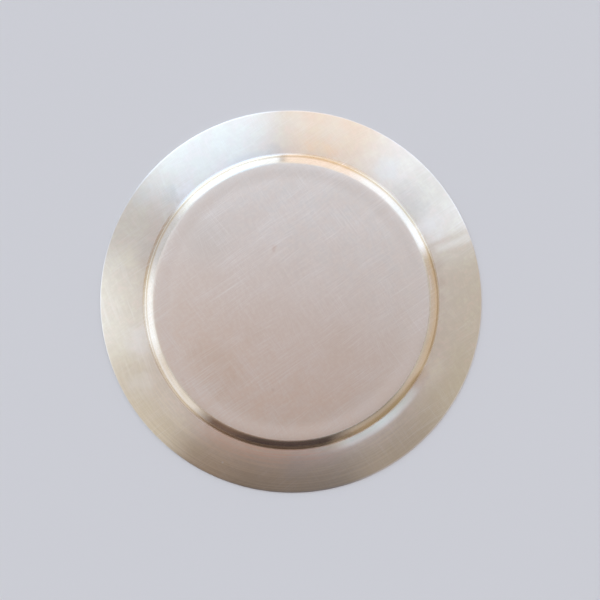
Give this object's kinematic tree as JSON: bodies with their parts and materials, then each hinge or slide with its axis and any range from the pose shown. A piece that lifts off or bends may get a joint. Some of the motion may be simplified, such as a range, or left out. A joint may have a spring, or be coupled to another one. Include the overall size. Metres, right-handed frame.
{
  "type": "plate",
  "caption": "Round sheet-brass plate with a flat base, short curved wall and wide gently sloping rim, lying face down.",
  "frame": {"origin": "centre of the plane that the lip rests on, on the axis of revolution; the plate lies face down", "axes": "+Z along the axis of revolution, out of the flat underside of the base; X and Y lie in the plane of the lip and are interchangeable"},
  "size_m": [0.24, 0.24, 0.0083],
  "materials": {
    "brushed_brass": "pale brass, brushed to a satin sheen: rings of fine brushing on the rim and wall, straight crossing strokes on the base"
  },
  "bodies": {
    "root": {"plate": "brushed_brass"}
  },
  "joints": []
}
